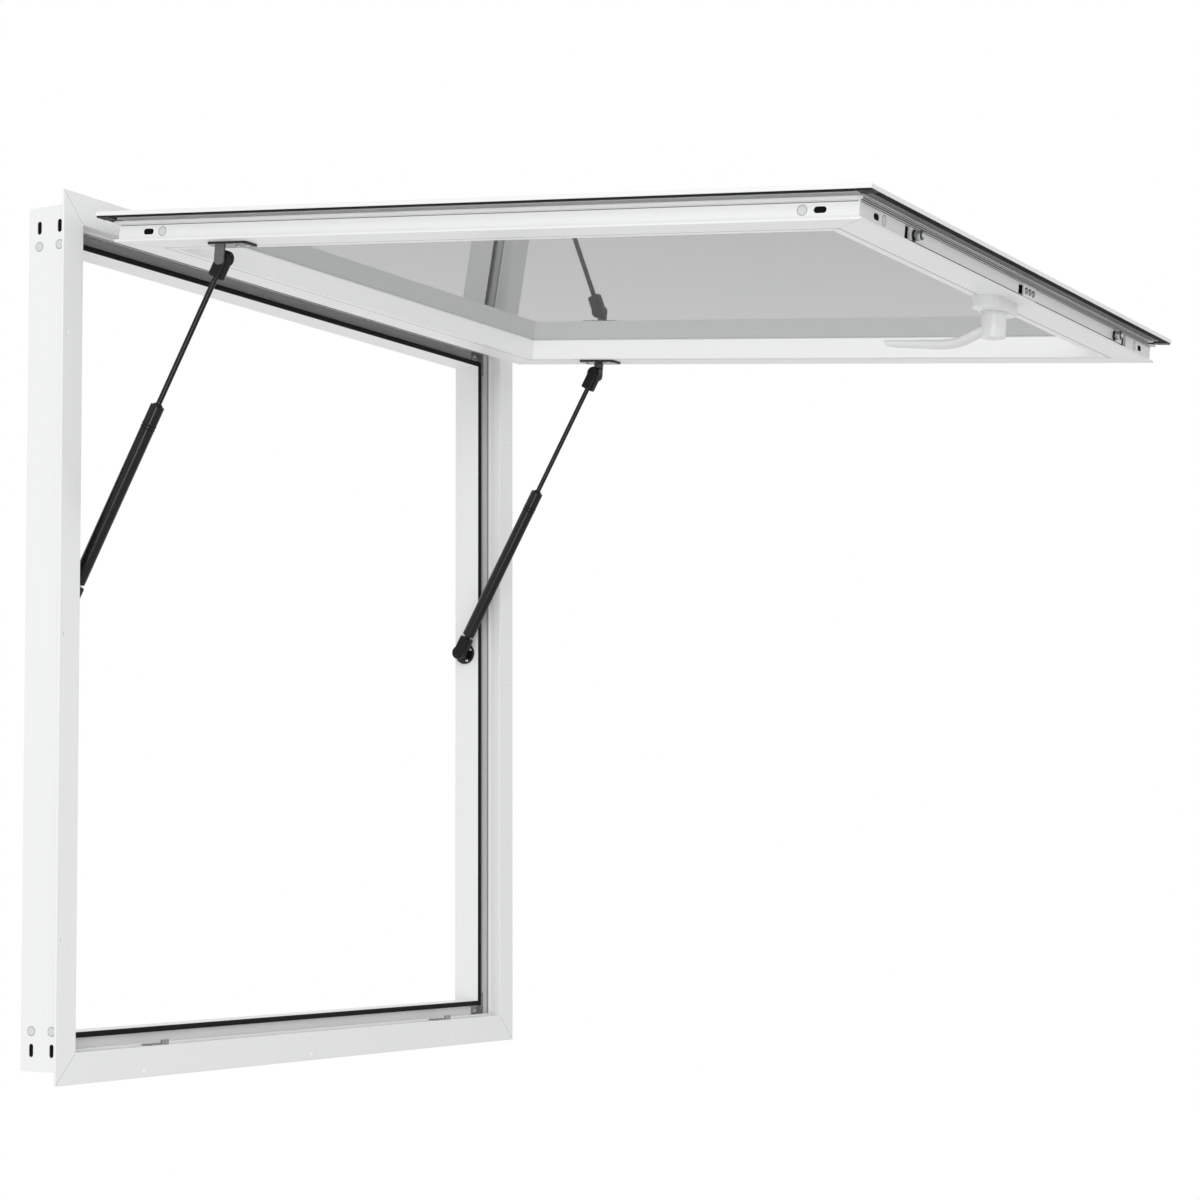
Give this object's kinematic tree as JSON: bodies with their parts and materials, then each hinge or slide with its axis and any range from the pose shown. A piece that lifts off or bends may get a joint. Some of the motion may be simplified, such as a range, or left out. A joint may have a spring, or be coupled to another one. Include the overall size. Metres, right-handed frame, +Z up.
{
  "type": "concession window",
  "caption": "Square aluminium serving hatch for a caravan or food truck: flanged frame, top-hung glazed sash held open by gas struts, with a lever lock.",
  "frame": {"origin": "middle of the flange's lower overhang, on the face that lies against the wall", "axes": "+X along the wall to the right as seen from outside, +Y into the vehicle, +Z up"},
  "size_m": [0.936, 0.9579, 0.936],
  "materials": {
    "white_coat": "white powder coat on aluminium",
    "rubber": "matte black",
    "glass": "clear polished, lightly tinted",
    "black_steel": "satin black paint",
    "black_rod": "black nitride",
    "black_nylon": "moulded black",
    "bright_steel": "zinc plate",
    "white_handle": "white powder coat"
  },
  "bodies": {
    "frame": {"frame_left_jamb": "white_coat", "frame_right_jamb": "white_coat", "frame_head": "white_coat", "frame_sill": "white_coat", "frame_gasket": "rubber", "frame_corner_cleats": "bright_steel", "hinge_rail": "white_coat", "lock_keepers": "bright_steel", "left_strut_foot": "black_steel", "right_strut_foot": "black_steel"},
    "sash": {"sash_left_stile": "white_coat", "sash_right_stile": "white_coat", "sash_top_rail": "white_coat", "sash_bottom_rail": "white_coat", "glass_pane": "glass", "glazing_bead_left": "white_coat", "glazing_bead_right": "white_coat", "glazing_bead_top": "white_coat", "glazing_bead_bottom": "white_coat", "sash_seal": "rubber", "hinge_hook": "white_coat", "left_strut_bracket": "black_steel", "right_strut_bracket": "black_steel", "handle_base": "white_handle"},
    "handle": {"handle_lever": "white_handle"},
    "lock": {"lock_bar": "white_coat", "lock_drive_block": "bright_steel", "left_lock_cam": "bright_steel", "right_lock_cam": "bright_steel"},
    "left_rod": {"left_rod": "black_rod", "left_rod_socket": "black_nylon"},
    "right_rod": {"right_rod": "black_rod", "right_rod_socket": "black_nylon"},
    "left_cylinder": {"left_cylinder": "black_steel", "left_cylinder_socket": "black_nylon"},
    "right_cylinder": {"right_cylinder": "black_steel", "right_cylinder_socket": "black_nylon"}
  },
  "joints": [
    {"name": "sash_hinge", "type": "hinge", "parent": "frame", "child": "sash", "pos_m": [0, -0.015, 0.9117], "axis": [1, 0, 0], "range_deg": [0, 85]},
    {"name": "handle_turn", "type": "hinge", "parent": "sash", "child": "handle", "pos_m": [0, -0.85311, 0.80525], "axis": [0, 0.0872, -0.9962], "range_deg": [0, 90]},
    {"name": "lock_slide", "type": "slide", "parent": "sash", "child": "lock", "axis": [1, 0, 0], "range_m": [0, 0.014]},
    {"name": "left_rod_pivot", "type": "hinge", "parent": "sash", "child": "left_rod", "pos_m": [-0.4025, -0.16188, 0.84996], "axis": [1, 0, 0], "range_deg": [-113.54, 0]},
    {"name": "left_strut_slide", "type": "slide", "parent": "left_rod", "child": "left_cylinder", "axis": [0, -0.4986, 0.8668], "range_m": [0, 0.14382]},
    {"name": "right_rod_pivot", "type": "hinge", "parent": "sash", "child": "right_rod", "pos_m": [0.4025, -0.16188, 0.84996], "axis": [1, 0, 0], "range_deg": [-113.54, 0]},
    {"name": "right_strut_slide", "type": "slide", "parent": "right_rod", "child": "right_cylinder", "axis": [0, -0.4986, 0.8668], "range_m": [0, 0.14382]}
  ],
  "couplings": [
    {"joint": "lock_slide", "follows": "handle_turn", "m_per_rad": 0.0089127},
    {"joint": "left_rod_pivot", "follows": "sash_hinge", "ratio": -1.3356},
    {"joint": "left_strut_slide", "follows": "sash_hinge", "m_per_rad": 0.096936},
    {"joint": "right_rod_pivot", "follows": "sash_hinge", "ratio": -1.3356},
    {"joint": "right_strut_slide", "follows": "sash_hinge", "m_per_rad": 0.096936}
  ]
}
